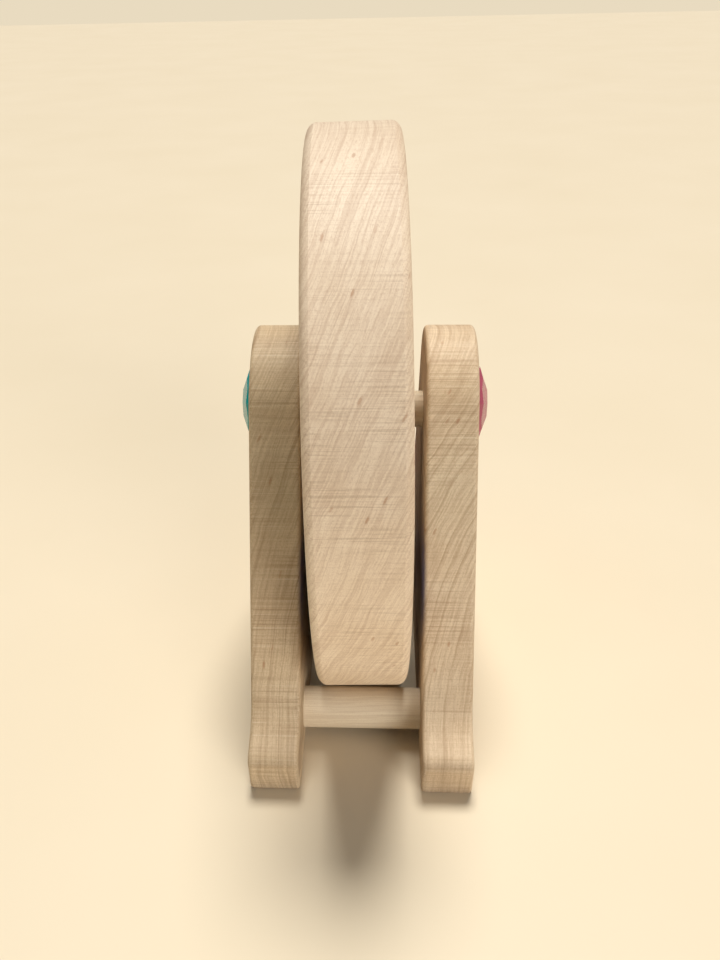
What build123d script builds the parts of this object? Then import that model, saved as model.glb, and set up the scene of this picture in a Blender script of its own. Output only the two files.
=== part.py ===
from build123d import *
import math
import os

# A wooden kaleidoscope wheel: a thick disc with coloured faceted gems let into both faces,
# turning loosely on a dowel between two upright supports.
# Millimetres. X runs along the axle, Y from the front to the back, Z up.
# The origin is on the table, midway between the supports and under the axle.

# --- Wheel: turns on the axle, and rests a little askew on its loose bore ---
wheel_diameter = 143.4
wheel_thickness = 22.2
wheel_bevel_width = 1.9       # shallow bevel along the rim, meeting it in a crisp line
wheel_bevel_drop = 0.8        # how far the bevel has dropped at the wheel's face
wheel_bevel_rounding = 2.4    # blends the bevel into the wheel's faces
wheel_floor_gap = 5.6         # under the rim
wheel_side_play = 4.3         # between the wheel and each support, when it is centred
wheel_side_shift = -1.5       # how far along the axle it has slid
wheel_turn = 1.3              # skew about the vertical, in degrees
wheel_lean = 0.8              # skew towards the left at the top, in degrees
bore_play = 3.0               # bore diameter less axle diameter
running_gap = 0.05            # left between the bore and the axle where they bear

# --- Supports: two rounded-top boards with small flared feet ---
board_thickness = 12.8
support_top_radius = 21.9     # the round top is centred on the axle
foot_reach = 63.2             # from the middle to the widest point of a foot
foot_widest_height = 11.6
foot_base_inset = 2.0         # how much further in the foot meets the table
foot_toe_length = 10.8        # from the neck, at the end of the sloping flank, to the widest point
foot_neck_height = 15.3
foot_neck_radius = 11.0       # hollow curve from the flank into the foot
foot_toe_radius = 3.4
foot_sole_radius = 0.9
support_edge_radius = 1.1     # round-over along both faces

# --- Round bars ---
axle_diameter = 9.6
crossbar_diameter = 11.0
crossbar_height = 8.8
crossbar_rim_gap = 2.0        # between each crossbar and the wheel's rim
crossbar_socket_depth = 8.0
socket_end_gap = 0.3          # between a crossbar's end and the floor of its socket
glue_gap = 0.05               # all round a bar that is glued into a hole
bar_end_chamfer = 0.5

# --- Gems: flat-backed, round, cut with a flat table and two rings of facets ---
cap_gem_diameter = 21.0
cap_gem_height = 3.7
cap_gem_rise = 1.8            # how far above the axle's centre a cap gem was glued
wheel_gem_diameter = 25.0
wheel_gem_height = 5.4
table_width_share = 0.42      # width of the flat table facet over the gem's diameter
main_facets = 8
main_facet_tilt = 20.0        # degrees from the table
girdle_facet_tilt = 46.0
girdle_band = 0.7             # upright band above the flat back

# --- Gem pockets in the wheel ---
gem_colours = ["red", "orange", "yellow", "green", "teal", "blue", "violet", "pink"]
rim_wall = 13.1               # wood left between a pocket and the rim
gem_proud = 0.4               # how far a gem's table stands out of the wheel's face
pocket_clearance = 0.1        # all round a gem in its pocket
light_hole_diameter = 14.0    # joins the two pockets behind a pair of gems

# --- Worked-out places ---
# The skewed bore bears on the top of the axle, so the wheel hangs below the axle's centre.
wheel_bore = axle_diameter + bore_play
wheel_skew = math.radians(math.hypot(wheel_turn, wheel_lean))
skew_room = wheel_thickness / 2 * math.sin(wheel_skew)
wheel_hang = bore_play / 2 - skew_room - running_gap
wheel_height = wheel_floor_gap + wheel_diameter / 2
axle_height = wheel_height + wheel_hang
turn = math.radians(wheel_turn)
lean = math.radians(wheel_lean)
wheel_plane = Plane(
    origin=(wheel_side_shift, 0, wheel_height),
    x_dir=(-math.sin(turn), math.cos(turn), 0),
    z_dir=(math.cos(turn) * math.cos(lean), math.sin(turn) * math.cos(lean), math.sin(lean)),
)
board_spacing = wheel_thickness + 2 * wheel_side_play
outer_face = board_spacing / 2 + board_thickness
crossbar_distance = wheel_diameter / 2 + crossbar_rim_gap + crossbar_diameter / 2
crossbar_reach = math.sqrt(crossbar_distance**2 - (wheel_height - crossbar_height) ** 2)
pocket_depth = wheel_gem_height - gem_proud
pocket_radius = wheel_gem_diameter / 2 + pocket_clearance
gem_circle_radius = wheel_diameter / 2 - rim_wall - pocket_radius


def write(part, name):
    """Label a finished piece and write it under the same name."""
    part.label = name
    export_step(part, f"parts/{name}.step")


def make_support(name, inner_x, direction):
    """One upright: a rounded top on sloping flanks, flared feet, an axle hole and two sockets."""
    # Each flank runs from the neck of the foot up to where it touches the round top.
    neck_y = foot_reach - foot_toe_length
    neck_drop = axle_height - foot_neck_height
    neck_to_axle = math.hypot(neck_y, neck_drop)
    slope = math.atan2(neck_y, neck_drop) - math.asin(support_top_radius / neck_to_axle)
    tangent_y = support_top_radius * math.cos(slope)
    tangent_z = axle_height + support_top_radius * math.sin(slope)
    flank_angle = math.degrees(slope)
    foot_base_reach = foot_reach - foot_base_inset
    inner_plane = Plane.YZ.offset(inner_x)
    with BuildPart() as support:
        with BuildSketch(inner_plane) as outline:
            with BuildLine():
                CenterArc((0, axle_height), support_top_radius, flank_angle, 180 - 2 * flank_angle)
                Polyline(
                    (tangent_y, tangent_z),
                    (neck_y, foot_neck_height),
                    (foot_reach, foot_widest_height),
                    (foot_base_reach, 0),
                    (-foot_base_reach, 0),
                    (-foot_reach, foot_widest_height),
                    (-neck_y, foot_neck_height),
                    (-tangent_y, tangent_z),
                )
            make_face()
            # From the necks down, so that the corners still to be rounded keep their order.
            fillet(outline.vertices().group_by(Axis.Y)[2], foot_neck_radius)
            fillet(outline.vertices().group_by(Axis.Y)[1], foot_toe_radius)
            fillet(outline.vertices().group_by(Axis.Y)[0], foot_sole_radius)
        extrude(amount=direction * board_thickness)
        rims = support.faces().filter_by(Axis.X).edges()
        fillet(rims, support_edge_radius)
        with BuildSketch(inner_plane):
            with Locations((0, axle_height)):
                Circle(axle_diameter / 2 + glue_gap)
        extrude(amount=direction * board_thickness, mode=Mode.SUBTRACT)
        with BuildSketch(inner_plane):
            with Locations((-crossbar_reach, crossbar_height), (crossbar_reach, crossbar_height)):
                Circle(crossbar_diameter / 2 + glue_gap)
        extrude(amount=direction * crossbar_socket_depth, mode=Mode.SUBTRACT)
    write(support.part, name)


def make_bar(name, diameter, y, z, half_length):
    """A round wooden bar along X with chamfered ends."""
    with BuildPart() as bar:
        with BuildSketch(Plane.YZ.offset(-half_length)):
            with Locations((y, z)):
                Circle(diameter / 2)
        extrude(amount=2 * half_length)
        chamfer(bar.edges().filter_by(GeomType.CIRCLE), bar_end_chamfer)
    write(bar.part, name)


def make_wheel():
    """The disc, with its bore, and a pair of gem pockets back to back on each light hole."""
    with BuildPart() as wheel:
        with BuildSketch(wheel_plane.offset(-wheel_thickness / 2)):
            Circle(wheel_diameter / 2)
        extrude(amount=wheel_thickness)
        rim = wheel.faces().filter_by(GeomType.CYLINDER)[0]
        rim_circles = wheel.edges().filter_by(GeomType.CIRCLE)
        chamfer(rim_circles, wheel_bevel_width, wheel_bevel_drop, reference=rim)
        fillet(wheel.faces().filter_by(GeomType.PLANE).edges(), wheel_bevel_rounding)
        with BuildSketch(wheel_plane.offset(-wheel_thickness / 2)):
            Circle(wheel_bore / 2)
            with PolarLocations(gem_circle_radius, len(gem_colours)):
                Circle(light_hole_diameter / 2)
        extrude(amount=wheel_thickness, mode=Mode.SUBTRACT)
        for side in (-1, 1):
            with BuildSketch(wheel_plane.offset(side * wheel_thickness / 2)):
                with PolarLocations(gem_circle_radius, len(gem_colours)):
                    Circle(pocket_radius)
            extrude(amount=-side * pocket_depth, mode=Mode.SUBTRACT)
    write(wheel.part, "wheel")


def cut_gem(diameter, height):
    """A gem with its flat back on the XY plane, cut from a round blank with two rings of planes."""
    table_radius = diameter * table_width_share / 2
    girdle_run = diameter / 2 - (height - girdle_band) / math.tan(math.radians(girdle_facet_tilt))
    # Each ring has a count, a starting angle, a tilt, and the radius where it reaches table height.
    rings = (
        (main_facets, 0, main_facet_tilt, table_radius),
        (2 * main_facets, 90 / main_facets, girdle_facet_tilt, girdle_run),
    )
    with BuildPart() as gem:
        Cylinder(diameter / 2, height, align=(Align.CENTER, Align.CENTER, Align.MIN))
        for count, start, tilt_angle, table_reach in rings:
            tilt = math.radians(tilt_angle)
            for step in range(count):
                around = math.radians(start + step * 360 / count)
                normal = (math.sin(tilt) * math.cos(around), math.sin(tilt) * math.sin(around), math.cos(tilt))
                apex = (0, 0, height + table_reach * math.tan(tilt))
                split(bisect_by=Plane(origin=apex, z_dir=normal), keep=Keep.BOTTOM)
    return gem.part


def set_gem(gem, name, seat):
    """A copy of a cut gem with its flat back on the seat plane."""
    with BuildPart() as piece:
        with Locations(seat.location):
            add(gem)
    write(piece.part, name)


os.makedirs("parts", exist_ok=True)

make_support("left_support", -board_spacing / 2, -1)
make_support("right_support", board_spacing / 2, 1)
make_bar("axle", axle_diameter, 0, axle_height, outer_face)
crossbar_half_length = board_spacing / 2 + crossbar_socket_depth - socket_end_gap
make_bar("front_crossbar", crossbar_diameter, -crossbar_reach, crossbar_height, crossbar_half_length)
make_bar("rear_crossbar", crossbar_diameter, crossbar_reach, crossbar_height, crossbar_half_length)
make_wheel()

cap_gem = cut_gem(cap_gem_diameter, cap_gem_height)
cap_height = axle_height + cap_gem_rise
set_gem(cap_gem, "left_cap_gem", Plane((-outer_face, 0, cap_height), x_dir=(0, 1, 0), z_dir=(-1, 0, 0)))
set_gem(cap_gem, "right_cap_gem", Plane((outer_face, 0, cap_height), x_dir=(0, 1, 0), z_dir=(1, 0, 0)))

wheel_gem = cut_gem(wheel_gem_diameter, wheel_gem_height)
pocket_floor = wheel_thickness / 2 - pocket_depth
for step, colour in enumerate(gem_colours):
    around = math.radians(step * 360 / len(gem_colours))
    across = gem_circle_radius * math.cos(around)
    up = gem_circle_radius * math.sin(around)
    for side_name, side in (("left", -1), ("right", 1)):
        seat = Plane(
            origin=wheel_plane.from_local_coords((across, up, side * pocket_floor)),
            x_dir=wheel_plane.x_dir,
            z_dir=wheel_plane.z_dir * side,
        )
        set_gem(wheel_gem, f"{side_name}_{colour}_gem", seat)
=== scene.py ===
"""Looks for the wooden kaleidoscope wheel: bare maple, clear acrylic gems, a pale table and soft light."""

import math

import bpy
from mathutils import Matrix, Vector

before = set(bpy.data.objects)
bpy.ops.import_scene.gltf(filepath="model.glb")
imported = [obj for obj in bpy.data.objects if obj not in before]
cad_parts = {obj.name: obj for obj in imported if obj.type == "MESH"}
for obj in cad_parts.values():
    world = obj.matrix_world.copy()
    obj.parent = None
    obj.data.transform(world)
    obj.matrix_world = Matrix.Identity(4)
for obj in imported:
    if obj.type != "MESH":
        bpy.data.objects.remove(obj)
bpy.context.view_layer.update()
MM = 0.001


def srgb(red, green, blue):
    """A colour given in display values from 0 to 255, as the linear RGBA that shaders take."""
    linear = []
    for value in (red / 255, green / 255, blue / 255):
        linear.append(value / 12.92 if value <= 0.04045 else ((value + 0.055) / 1.055) ** 2.4)
    return (*linear, 1.0)


# --- Camera: a little above the wheel, looking down at its front edge ---
CAMERA_PLACE_MM = (3.28, -227.16, 183.17)
CAMERA_DOWN = math.radians(31.61)
CAMERA_TURN = math.radians(3.73)
CAMERA_ROLL = math.radians(-1.45)
LENS_MM = 34.88
SENSOR_MM = 36.0
SHIFT = (0.0374, 0.0430)
NEAREST_VIEW = 0.01  # metres

# --- Surroundings ---
FLOOR_SIZE = 6.0  # metres
FLOOR_COLOURS = (srgb(222, 207, 179), srgb(228, 214, 189))
ROOM_COLOUR = srgb(244, 243, 240)
ROOM_STRENGTH = 0.15
BACKDROP_COLOUR = srgb(233, 219, 192)

# --- Marks shared by every wooden piece: their colours, and the share that mixes in ---
FLECK_BROWN = srgb(164, 110, 72)
FLECK_SHARE = 0.48
SAW_DARK = srgb(152, 118, 88)
SAW_DARK_SHARE = 0.40
SAW_PALE = srgb(250, 240, 218)
SAW_PALE_SHARE = 0.22

# --- Growth rings: how far they stray from perfect, even shells ---
SHELL_SWAY_MM = 5.0  # slow wander
SHELL_WOBBLE_MM = 0.7  # quick wander
RING_UNEVENNESS = 1.4  # shift of a ring from its even place, in rings

# --- Gems: each colour has the clear tint and the deeper one that it pools to ---
ACRYLIC_IOR = 1.49
GEM_TINTS = {
    "red": (srgb(232, 40, 44), srgb(190, 20, 30)),
    "orange": (srgb(250, 140, 40), srgb(232, 104, 20)),
    "yellow": (srgb(252, 222, 60), srgb(240, 196, 30)),
    "green": (srgb(70, 200, 90), srgb(34, 160, 66)),
    "teal": (srgb(40, 226, 228), srgb(24, 196, 204)),
    "blue": (srgb(60, 110, 230), srgb(30, 70, 190)),
    "violet": (srgb(150, 80, 210), srgb(110, 46, 170)),
    "pink": (srgb(240, 126, 152), srgb(212, 86, 112)),
}


# --- Shader building ---


class Shader:
    """One material's node graph. Most methods add a node and return its output socket."""

    # A Mix node in colour mode keeps its sockets at these places.
    MIX_SHARE, MIX_FIRST, MIX_SECOND, MIX_RESULT = 0, 6, 7, 2

    def __init__(self, name):
        self.material = bpy.data.materials.new(name)
        self.material.use_nodes = True
        self.tree = self.material.node_tree
        self.surface = self.tree.nodes["Principled BSDF"]

    def feed(self, socket, value):
        """Link another node's output to a socket, or set the socket's own value."""
        if isinstance(value, bpy.types.NodeSocket):
            self.tree.links.new(value, socket)
        else:
            socket.default_value = value

    def finish_with(self, **inputs):
        """Feed the surface shader; an underscore in a name stands for a space."""
        for name, value in inputs.items():
            self.feed(self.surface.inputs[name.replace("_", " ")], value)
        return self.material

    def node(self, kind, inputs, **settings):
        made = self.tree.nodes.new(kind)
        for name, value in settings.items():
            setattr(made, name, value)
        for key, value in inputs.items():
            self.feed(made.inputs[key], value)
        return made

    def calculate(self, operation, first, second=0.0):
        return self.node("ShaderNodeMath", {0: first, 1: second}, operation=operation).outputs[0]

    def add(self, first, second):
        return self.calculate("ADD", first, second)

    def subtract(self, first, second):
        return self.calculate("SUBTRACT", first, second)

    def multiply(self, first, second):
        return self.calculate("MULTIPLY", first, second)

    def stretch(self, vector, scale):
        """A vector times a scale for each axis."""
        return self.node("ShaderNodeVectorMath", {0: vector, 1: scale}, operation="MULTIPLY").outputs[0]

    def place_mm(self, scale=(1, 1, 1)):
        """The point in millimetres, times a scale for each axis."""
        point = self.node("ShaderNodeTexCoord", {}).outputs["Object"]
        return self.stretch(point, tuple(value / MM for value in scale))

    def split(self, vector):
        return self.node("ShaderNodeSeparateXYZ", {0: vector}).outputs

    def noise(self, vector, detail=2.0, roughness=0.5):
        inputs = {"Vector": vector, "Scale": 1.0, "Detail": detail, "Roughness": roughness}
        return self.node("ShaderNodeTexNoise", inputs).outputs["Fac"]

    def noise_along(self, value, detail):
        """Noise that depends on a single number."""
        inputs = {"W": value, "Scale": 1.0, "Detail": detail}
        return self.node("ShaderNodeTexNoise", inputs, noise_dimensions="1D").outputs["Fac"]

    def ramp(self, value, low, high, to_low=0.0, to_high=1.0):
        """Smoothly from to_low to to_high as value goes from low to high."""
        inputs = {"Value": value, "From Min": low, "From Max": high, "To Min": to_low, "To Max": to_high}
        return self.node("ShaderNodeMapRange", inputs, interpolation_type="SMOOTHSTEP").outputs[0]

    def mix(self, share, first, second):
        """The first colour, with a share of the second from 0 to 1."""
        made = self.node("ShaderNodeMix", {}, data_type="RGBA")
        self.feed(made.inputs[self.MIX_SHARE], share)
        self.feed(made.inputs[self.MIX_FIRST], first)
        self.feed(made.inputs[self.MIX_SECOND], second)
        return made.outputs[self.MIX_RESULT]

    def stain(self, colour, toward, field, low, high, strength):
        """A colour mixed toward another, up to strength, where a field goes from low to high."""
        return self.mix(self.multiply(self.ramp(field, low, high), strength), colour, toward)

    def bump(self, height, strength, distance_mm, below=None):
        """A normal for a height field, laid over the normal below it if there is one."""
        inputs = {"Strength": strength, "Distance": distance_mm * MM, "Height": height}
        if below is not None:
            inputs["Normal"] = below
        return self.node("ShaderNodeBump", inputs).outputs[0]


# --- Wood ---


class Wood(Shader):
    """Wood whose growth rings are shells round a straight pith line, with its fibres along that line."""

    def __init__(self, name, pith_mm, fibres_along):
        """The pith line is level: pith_mm gives its place on the level axis across it, and its height."""
        super().__init__(name)
        across_axis, self.fibre_axis = {"Y": (0, 1), "X": (1, 0)}[fibres_along]
        point = self.split(self.place_mm())
        away = self.subtract(point[across_axis], pith_mm[0])
        above = self.subtract(point[2], pith_mm[1])
        squares = self.add(self.multiply(away, away), self.multiply(above, above))
        # The shells sway slowly, and wobble a little on the way.
        sway = self.subtract(self.noise(self.along_fibres(0.03, 0.01), detail=3.0), 0.5)
        wobble = self.subtract(self.noise(self.along_fibres(0.25, 0.06)), 0.5)
        drift = self.add(self.multiply(sway, SHELL_SWAY_MM), self.multiply(wobble, SHELL_WOBBLE_MM))
        self.radius = self.add(self.calculate("SQRT", squares), drift)
        # Places that follow the shells: outward, along the fibres and round the ring.
        around = self.calculate("ARCTAN2", above, self.multiply(away, -1.0))
        round_ring = self.multiply(around, math.hypot(*pith_mm))
        on_ring = {0: self.radius, 1: point[self.fibre_axis], 2: round_ring}
        self.on_ring = self.node("ShaderNodeCombineXYZ", on_ring).outputs[0]

    def along_fibres(self, across, along):
        """The point in millimetres, scaled across the fibres and along them."""
        scale = [across] * 3
        scale[self.fibre_axis] = along
        return self.place_mm(scale)

    def ring_noise(self, scale, detail):
        return self.noise(self.stretch(self.on_ring, scale), detail, roughness=0.6)

    def ring_lines(self, ring_mm):
        """1 along the dark late wood that ends each ring; rings differ in width and in weight."""
        width_noise = self.noise_along(self.multiply(self.radius, 0.11), detail=1.0)
        uneven = self.multiply(width_noise, RING_UNEVENNESS)
        ring = self.add(self.calculate("DIVIDE", self.radius, ring_mm), uneven)
        shell = self.calculate("FRACT", ring)
        line = self.multiply(self.ramp(shell, 0.70, 0.95), self.ramp(shell, 1.0, 0.96))
        weight = self.noise_along(self.multiply(self.calculate("FLOOR", ring), 3.7), detail=0.0)
        return self.multiply(line, self.ramp(weight, 0.3, 0.7, 0.15, 1.0))

    def flecks(self, grit):
        """1 in scattered small marks that lie along the rings and the fibres, with ragged edges."""
        place = self.stretch(self.on_ring, (0.55, 0.16, 0.20))
        cells = self.node("ShaderNodeTexVoronoi", {"Vector": place, "Scale": 1.0}).outputs
        ragged = self.add(cells["Distance"], self.multiply(grit, 0.22))
        chosen = self.ramp(self.split(cells["Color"])[0], 0.84, 0.90)
        return self.multiply(self.ramp(ragged, 0.36, 0.20), chosen)

    def edge_share(self):
        """1 on surfaces that face across the axle, 0 on the flat faces at its ends."""
        normal = self.node("ShaderNodeTexCoord", {}).outputs["Normal"]
        facing_axle = self.calculate("ABSOLUTE", self.split(normal)[0])
        return self.ramp(facing_axle, 0.55, 0.85, 1.0, 0.0)


def make_wood(name, pith_mm, ring_mm, ring_share, colours, saw, fibres_along="Y"):
    """Bare maple. ring_share and saw say how strongly the rings and the saw lines show."""
    pale, mid, streak = colours
    wood = Wood(name, pith_mm, fibres_along)
    fibre = wood.noise(wood.along_fibres(2.2, 0.10), detail=4.0, roughness=0.65)
    cloud = wood.noise(wood.along_fibres(0.06, 0.02), detail=3.0)
    grit = wood.noise(wood.place_mm((2.6, 2.6, 2.6)), roughness=0.7)
    broad = wood.ring_noise((1.5, 0.02, 0.06), detail=3.0)
    hair = wood.ring_noise((3.4, 0.04, 0.16), detail=2.0)
    flecks = wood.flecks(grit)

    colour = wood.mix(wood.ramp(cloud, 0.3, 0.7), pale, mid)
    colour = wood.stain(colour, streak, broad, low=0.42, high=0.66, strength=0.30)
    colour = wood.stain(colour, streak, hair, low=0.46, high=0.68, strength=0.26)
    colour = wood.mix(wood.multiply(wood.ring_lines(ring_mm), ring_share), colour, streak)
    colour = wood.stain(colour, streak, fibre, low=0.46, high=0.72, strength=0.30)
    colour = wood.stain(colour, streak, grit, low=0.50, high=0.74, strength=0.26)
    colour = wood.mix(wood.multiply(flecks, FLECK_SHARE), colour, FLECK_BROWN)

    # Saw and planer lines run parallel to the axle, on the cut edges only, and come and go in patches.
    cut = wood.edge_share()
    lines = wood.noise(wood.place_mm((0.022, 2.3, 2.3)), roughness=0.8)
    patches = wood.ramp(wood.noise(wood.place_mm((0.05, 0.08, 0.08))), 0.35, 0.65, 0.3, 1.0)
    amount = wood.multiply(cut, patches)
    dark_lines = wood.multiply(wood.ramp(lines, 0.48, 0.66), amount)
    pale_lines = wood.multiply(wood.ramp(lines, 0.44, 0.30), amount)
    colour = wood.mix(wood.multiply(dark_lines, SAW_DARK_SHARE * saw), colour, SAW_DARK)
    colour = wood.mix(wood.multiply(pale_lines, SAW_PALE_SHARE * saw), colour, SAW_PALE)

    grain_height = wood.add(wood.subtract(fibre, flecks), wood.multiply(grit, 0.6))
    grain = wood.bump(grain_height, strength=0.35, distance_mm=0.05)
    return wood.finish_with(
        Base_Color=colour,
        Roughness=wood.add(wood.multiply(fibre, 0.22), 0.48),
        Specular_IOR_Level=0.30,
        Normal=wood.bump(wood.multiply(lines, cut), strength=0.5 * saw, distance_mm=0.06, below=grain),
    )


def make_wheel_maple():
    """Pale and fine: close, faint rings that cross the rim at a slant."""
    return make_wood(
        "wheel_maple",
        pith_mm=(556, -148),
        ring_mm=2.1,
        ring_share=0.20,
        colours=(srgb(240, 222, 198), srgb(232, 212, 186), srgb(186, 154, 128)),
        saw=0.7,
    )


def make_left_maple_painted_shade():
    """The left board, with the boldest saw lines; its darker tone is painted shade, standing in for the
    wheel's shadow that falls on it.
    """
    return make_wood(
        "left_support_maple_painted_shade",
        pith_mm=(118, 14),
        ring_mm=3.3,
        ring_share=0.40,
        colours=(srgb(224, 203, 170), srgb(210, 187, 153), srgb(160, 130, 98)),
        saw=1.1,
    )


def make_right_maple():
    """The right board in the maple's own tone, lighter than the left board's painted shade, with the
    clearest rings.
    """
    return make_wood(
        "right_support_maple",
        pith_mm=(134, 4),
        ring_mm=3.3,
        ring_share=0.45,
        colours=(srgb(226, 206, 177), srgb(214, 191, 160), srgb(166, 136, 104)),
        saw=0.9,
    )


def make_bar_maple():
    """Smooth pale dowel, with its fibres along the axle."""
    return make_wood(
        "bar_maple",
        pith_mm=(40, 60),
        ring_mm=2.4,
        ring_share=0.25,
        colours=(srgb(250, 235, 208), srgb(243, 226, 197), srgb(212, 187, 153)),
        saw=0.2,
        fibres_along="X",
    )


# --- Gems ---


def make_gem(name, tint, deep):
    """Clear coloured acrylic, deeper in faint clouds, with fine scratches on its facets."""
    gem = Shader(name)
    cloud = gem.noise(gem.place_mm((0.09, 0.09, 0.09)), detail=1.0)
    scratches = gem.noise(gem.place_mm((0.8, 6.0, 1.6)), detail=4.0, roughness=0.7)
    return gem.finish_with(
        Base_Color=gem.mix(gem.ramp(cloud, 0.3, 0.7, 0.0, 0.6), tint, deep),
        Roughness=gem.ramp(scratches, 0.45, 0.8, 0.02, 0.10),
        Transmission_Weight=0.50,
        Specular_IOR_Level=0.28,
        IOR=ACRYLIC_IOR,
        Normal=gem.bump(scratches, strength=0.05, distance_mm=0.02),
    )


# --- Stage ---


def make_camera():
    data = bpy.data.cameras.new("camera")
    data.lens = LENS_MM
    data.sensor_width = SENSOR_MM
    data.shift_x, data.shift_y = SHIFT
    data.clip_start = NEAREST_VIEW
    camera = bpy.data.objects.new("camera", data)
    level = Matrix.Rotation(math.radians(90), 4, "X")
    turned = Matrix.Rotation(CAMERA_TURN, 4, "Z")
    tipped = Matrix.Rotation(-CAMERA_DOWN, 4, "X")
    rolled = Matrix.Rotation(CAMERA_ROLL, 4, "Z")
    place = Matrix.Translation(Vector(CAMERA_PLACE_MM) * MM)
    camera.matrix_world = place @ turned @ level @ tipped @ rolled
    bpy.context.scene.collection.objects.link(camera)
    bpy.context.scene.camera = camera


def make_floor():
    """A plain pale floor, so large that its far edge looks like a horizon."""
    bpy.ops.mesh.primitive_plane_add(size=FLOOR_SIZE)
    floor = bpy.context.object
    floor.name = "floor"
    paint = Shader("pale_floor")
    tone = paint.noise(paint.place_mm((0.01, 0.01, 0.01)), detail=3.0)
    material = paint.finish_with(Base_Color=paint.mix(tone, *FLOOR_COLOURS), Roughness=0.6)
    floor.data.materials.append(material)


def shine(name, direction, strength, spread, colour):
    """Soft light from far away. The direction points from the object to the light; spread is in degrees."""
    data = bpy.data.lights.new(name, "SUN")
    data.energy = strength
    data.angle = math.radians(spread)
    data.color = colour
    lamp = bpy.data.objects.new(name, data)
    lamp.location = direction
    lamp.rotation_euler = Vector(direction).to_track_quat("Z", "Y").to_euler()
    bpy.context.scene.collection.objects.link(lamp)


def make_world():
    """Dim room light on the object, and a pale backdrop where the view passes the floor."""
    world = bpy.data.worlds.new("soft_room")
    world.use_nodes = True
    tree = world.node_tree
    room = tree.nodes["Background"]
    room.inputs["Color"].default_value = ROOM_COLOUR
    room.inputs["Strength"].default_value = ROOM_STRENGTH
    backdrop = tree.nodes.new("ShaderNodeBackground")
    backdrop.inputs["Color"].default_value = BACKDROP_COLOUR
    path = tree.nodes.new("ShaderNodeLightPath")
    choose = tree.nodes.new("ShaderNodeMixShader")
    tree.links.new(path.outputs["Is Camera Ray"], choose.inputs[0])
    tree.links.new(room.outputs[0], choose.inputs[1])
    tree.links.new(backdrop.outputs[0], choose.inputs[2])
    tree.links.new(choose.outputs[0], tree.nodes["World Output"].inputs["Surface"])
    bpy.context.scene.world = world


def dress_pieces():
    """Give every piece its material: maple for the wooden ones, and each gem its own colour."""
    bar_maple = make_bar_maple()
    materials = {
        "wheel": make_wheel_maple(),
        # the left board's maple is a darker copy, painted shade from the wheel's shadow
        "left_support": make_left_maple_painted_shade(),
        "right_support": make_right_maple(),
        "front_crossbar": bar_maple,
        "rear_crossbar": bar_maple,
        "axle": bar_maple,
    }
    for colour, tints in GEM_TINTS.items():
        gem = make_gem("gem_" + colour, *tints)
        materials[f"left_{colour}_gem"] = gem
        materials[f"right_{colour}_gem"] = gem
    materials["left_cap_gem"] = materials["left_teal_gem"]
    materials["right_cap_gem"] = materials["right_pink_gem"]
    for name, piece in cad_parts.items():
        piece.data.materials.clear()
        piece.data.materials.append(materials[name])


bpy.context.scene.view_settings.view_transform = "Standard"
make_camera()
make_floor()
make_world()
shine("top_light", direction=(0.03, 0.36, 1.12), strength=3.35, spread=22, colour=(1.0, 0.97, 0.91))
shine("window_light", direction=(0.56, -0.98, 0.34), strength=1.30, spread=32, colour=(1.0, 0.97, 0.94))
dress_pieces()
